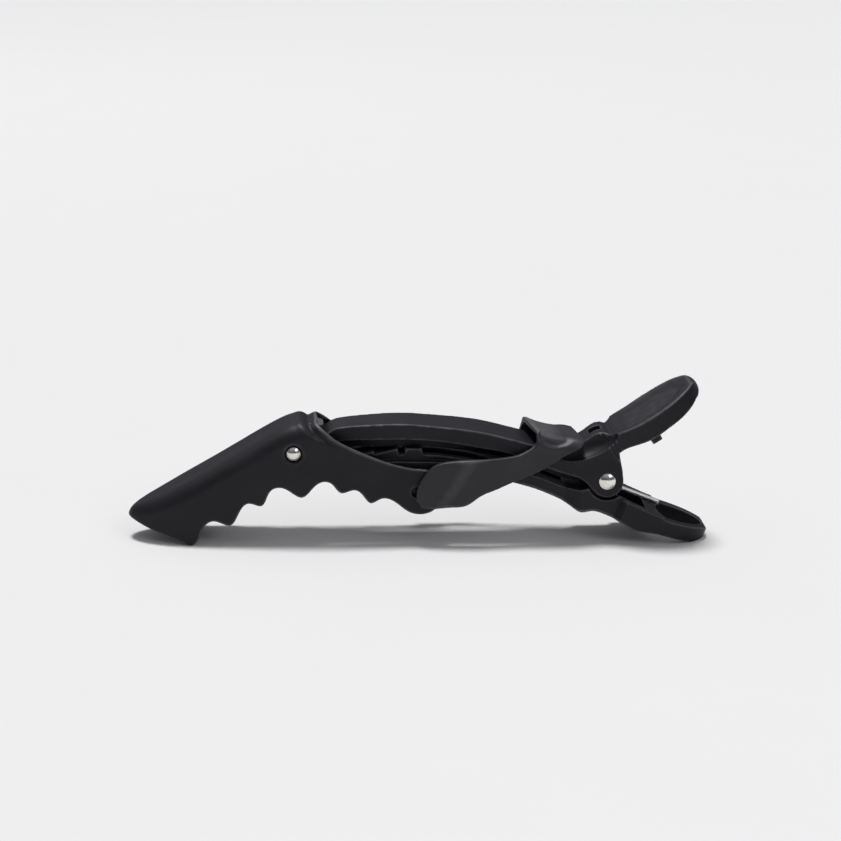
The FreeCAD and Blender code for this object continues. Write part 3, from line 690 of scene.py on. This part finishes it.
def strap_relief(x, y, z, normals):
    """How far the strap's sides move out, and the share of each place that belongs to a leg."""
    outward = np.clip(normals[:, 1] * np.sign(y), 0, 1)
    leg = outward ** 2 * smoothstep(*LEG_TOP, z)
    pad = swelling(x, *EAR_PAD) + swelling(x, *LEG_WAIST)
    away = line_distance(np.stack([x, z], axis=1), CREASE)
    below = np.interp(x, *np.transpose(CREASE)) > z
    fold = np.where(below, swelling(away, *FOLD_LIP), 0) + swelling(away, *FOLD)
    shoulder = outward ** 0.7 * smoothstep(*FOLD_START, x) * smoothstep(*FOLD_END, x)
    return leg * pad + shoulder * fold, leg


def make_strap():
    """The CAD strap, soft all over, with swollen ear pads and a fold where each leg leaves the saddle."""
    strap = rounded_copy("elastic_strap", "strap_moulding", rounds=8)
    points, normals = get_points(strap), get_normals(strap)
    x, y, z = points.T.copy()
    relief, leg = strap_relief(x, y, z, normals)
    points = points + normals * relief[:, None]
    saddle = smoothstep(*SADDLE_HEIGHT, z) * smoothstep(*SADDLE_START, x)
    lean = LIP_LEAN * smoothstep(*LIP_HEIGHT, z) * smoothstep(*LIP_SPAN, x)
    points[:, 0] += saddle * (SADDLE_SHIFT + SADDLE_SKEW * points[:, 1]) + lean
    set_points(strap, points)
    relax(strap, rounds=3)
    swell(strap, SKIN)
    mark_edges(strap)
    # A painted lighter top on the saddle and a painted sheen up each leg, added to the edge wear and painted
    # edge highlights.
    x_now = get_points(strap)[:, 0]
    upward = smoothstep(*SADDLE_LIT_FACING, get_normals(strap)[:, 2])
    painted_lit_top = upward * smoothstep(*SADDLE_LIT_START, x_now) * smoothstep(*SADDLE_LIT_END, x_now)
    sheen = leg * bump_curve(x, SHEEN_X + SHEEN_SLOPE * (z - SHEEN_Z), SHEEN_WIDTH)
    add_wear_and_highlight(strap, SADDLE_PAINTED_LIGHT * painted_lit_top + SHEEN * sheen, keep=EDGE_WEAR_AND_HIGHLIGHT_KEPT)
    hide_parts("elastic_strap")
    finish_piece(strap, RUBBER)
    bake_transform(strap)


make_strap()

# ---------------------------------------------------------------- the pins

PIN_SHAFT = 1.2
DOME_HEIGHT = 0.55
DOME_STEPS = 14
HEAD_EDGE = 0.12


def pin_profile(half, head):
    """A turned pin from end to end: a domed head with a rounded under-edge on each end of its shaft."""
    ball = (head ** 2 + DOME_HEIGHT ** 2) / (2 * DOME_HEIGHT)
    widest = math.asin(min(1.0, head / ball)) * 0.93
    dome = [(half + DOME_HEIGHT - ball * (1 - math.cos(t)), ball * math.sin(t))
            for t in np.linspace(widest, 0.02, DOME_STEPS)]
    under = [(half, head - 0.7 * HEAD_EDGE), (half + 0.2 * HEAD_EDGE, head - 0.02),
             (half + 0.6 * HEAD_EDGE, head)]
    outer = [(half - 0.001, PIN_SHAFT), *under, *dome]
    return [(-y, r) for y, r in reversed(outer)] + [(0.0, PIN_SHAFT)] + outer


def make_pin(name, node, body, centre, half, head):
    pin = lathe(name, pin_profile(half, head), centre)
    mark_edges(pin)
    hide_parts(node)
    finish_piece(pin, PLATED, body)


make_pin("front_pin_turned", "front_pin", "hood", FRONT_PIN, half=6.1, head=1.35)
make_pin("rear_pin_turned", "rear_pin", "arm", REAR_PIN, half=5.8, head=1.65)

# ---------------------------------------------------------------- the spring

# The top of the loop's crossbar: where it starts, and its slope in degrees.
LOOP_ORIGIN = (38.7, 8.7)
LOOP_TILT = -18.9

# The coil goes round the rear pin; its two legs are (Y, height above the pin) places and, below, places
# along the crossbar and above it.
COIL_RADIUS = 2.1
COIL_HALF = 2.2
COIL_TURNS = 4
COIL_STEPS = 220
WIRE_RADIUS = 0.46
WIRE_SIDES = 18
UPPER_LEG = ((-0.4, 7.6), (-0.4, 5.4), (-0.55, 3.6), (-1.3, 2.2), (-2.0, 0.9))
UPPER_STEP, LOWER_STEP = 0.18, 0.25
COIL_EXIT = (-2.8, 1.2)
LEG_END, LEG_END_Y = (11.0, 0.25), 4.0


def on_loop(along, above):
    """The (X, Z) place this far along the finger loop's crossbar and above it."""
    tilt = math.radians(LOOP_TILT)
    return (LOOP_ORIGIN[0] + along * math.cos(tilt) - above * math.sin(tilt),
            LOOP_ORIGIN[1] + along * math.sin(tilt) + above * math.cos(tilt))


def make_spring():
    """The torsion spring: close turns of round wire, one leg up into the arm and one along the loop."""
    pin_x, pin_z = REAR_PIN
    upper = resample([(pin_x - COIL_RADIUS, y, pin_z + rise) for y, rise in UPPER_LEG], UPPER_STEP)
    low_x, low_z = on_loop(*COIL_EXIT)
    start = math.pi
    end = math.atan2(low_z - pin_z, low_x - pin_x) - COIL_TURNS * FULL_TURN
    angles = np.linspace(start, end, COIL_STEPS)
    across = np.linspace(-COIL_HALF, COIL_HALF, COIL_STEPS)
    coil = [(pin_x + COIL_RADIUS * math.cos(t), y, pin_z + COIL_RADIUS * math.sin(t))
            for t, y in zip(angles, across)]
    end_x, end_z = on_loop(*LEG_END)
    bend = (low_x + 0.6, COIL_HALF + 0.08, low_z - 0.2)
    lower = resample([coil[-1], bend, (end_x, LEG_END_Y, end_z)], LOWER_STEP)
    spring = tube("torsion_spring_wire", [*upper, *coil[1:-1], *lower], WIRE_RADIUS, WIRE_SIDES)
    mark_edges(spring)
    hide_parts("torsion_spring")
    finish_piece(spring, WIRE)
    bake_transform(spring)


make_spring()

# ---------------------------------------------------------------- studio

# The floor's half size in millimetres, and its two nearly equal tones.
FLOOR_HALF = 3000
PAPER = ((0.618, 0.618, 0.618), (0.622, 0.622, 0.622))
PAPER_GLOW = 0.02

# Colours of the air, from the horizon up.
AIR = ((0.0, (0.068, 0.066, 0.086)), (0.25, (0.125, 0.122, 0.148)), (0.55, (0.28, 0.28, 0.30)),
       (0.85, (0.42, 0.42, 0.43)))

# The camera: place in millimetres, turn about X, Y and Z in degrees, lens and sensor in millimetres.
CAMERA_PLACE = (-32.901, -441.333, 149.871)
CAMERA_TURN = (74.0759, -1.0855, -4.0007)
CAMERA_LENS = 100
CAMERA_SENSOR = 36


def make_floor():
    """A plain pale paper floor, with hardly any variation."""
    corners = [(-FLOOR_HALF, -FLOOR_HALF, 0), (FLOOR_HALF, -FLOOR_HALF, 0),
               (FLOOR_HALF, FLOOR_HALF, 0), (-FLOOR_HALF, FLOOR_HALF, 0)]
    floor = new_object("studio_floor", corners, [(0, 1, 2, 3)])
    floor.data.transform(Matrix.Scale(MM, 4))
    n = Nodes("studio_paper")
    n.link(n.mix(n.curve(n.noise(30, 3.0), (0.3, 0.0), (0.7, 1.0)), *PAPER), "Base Color")
    n.set("Roughness", 1.0)
    n.set("Specular IOR Level", 0.0)
    n.set("Emission Color", (1, 1, 1, 1))
    n.set("Emission Strength", PAPER_GLOW)
    floor.data.materials.append(n.material)


def make_air():
    """Soft light from above, dim towards the horizon, like a big tent over a dark room."""
    world = bpy.data.worlds.new("studio_air")
    world.use_nodes = True
    tree = world.node_tree
    place = tree.nodes.new("ShaderNodeTexCoord")
    parts = tree.nodes.new("ShaderNodeSeparateXYZ")
    ramp = tree.nodes.new("ShaderNodeValToRGB")
    set_stops(ramp, AIR)
    background = tree.nodes["Background"]
    tree.links.new(place.outputs["Generated"], parts.inputs[0])
    tree.links.new(parts.outputs["Z"], ramp.inputs["Fac"])
    tree.links.new(ramp.outputs["Color"], background.inputs["Color"])
    background.inputs["Strength"].default_value = 1.0
    bpy.context.scene.world = world


def make_light(name, kind, direction, power):
    """A light of this kind that shines in this direction."""
    light = bpy.data.objects.new(name, bpy.data.lights.new(name, kind))
    bpy.context.scene.collection.objects.link(light)
    light.data.energy = power
    light.rotation_mode = "QUATERNION"
    light.rotation_quaternion = Vector(direction).to_track_quat("-Z", "Y")
    return light


def make_sun(name, direction, spread, strength):
    make_light(name, "SUN", direction, strength).data.angle = math.radians(spread)


def make_softbox(name, place, target, size, power):
    light = make_light(name, "AREA", Vector(target) - Vector(place), power)
    light.data.shape = "RECTANGLE"
    light.data.size, light.data.size_y = size
    light.location = place


def make_camera():
    data = bpy.data.cameras.new("camera")
    data.lens = CAMERA_LENS
    data.sensor_width = CAMERA_SENSOR
    data.clip_start, data.clip_end = 0.01, 50
    camera = bpy.data.objects.new("camera", data)
    bpy.context.scene.collection.objects.link(camera)
    turn = Euler([math.radians(angle) for angle in CAMERA_TURN]).to_matrix().to_4x4()
    camera.matrix_world = Matrix.Translation(Vector(CAMERA_PLACE) * MM) @ turn
    bpy.context.scene.camera = camera


make_floor()
make_air()
make_sun("tent_top", direction=(0.10, -0.13, -1.0), spread=14, strength=3.04)
make_softbox("fill_front", place=(1.2, -1.5, 1.3), target=(0.03, 0, 0.01), size=(1.0, 0.8), power=7.0)
make_softbox("softbox_back", place=(-0.30, 0.70, 0.40), target=(0, 0, 0.01), size=(0.60, 0.14), power=0.22)
make_camera()
bpy.context.scene.view_settings.view_transform = "Standard"
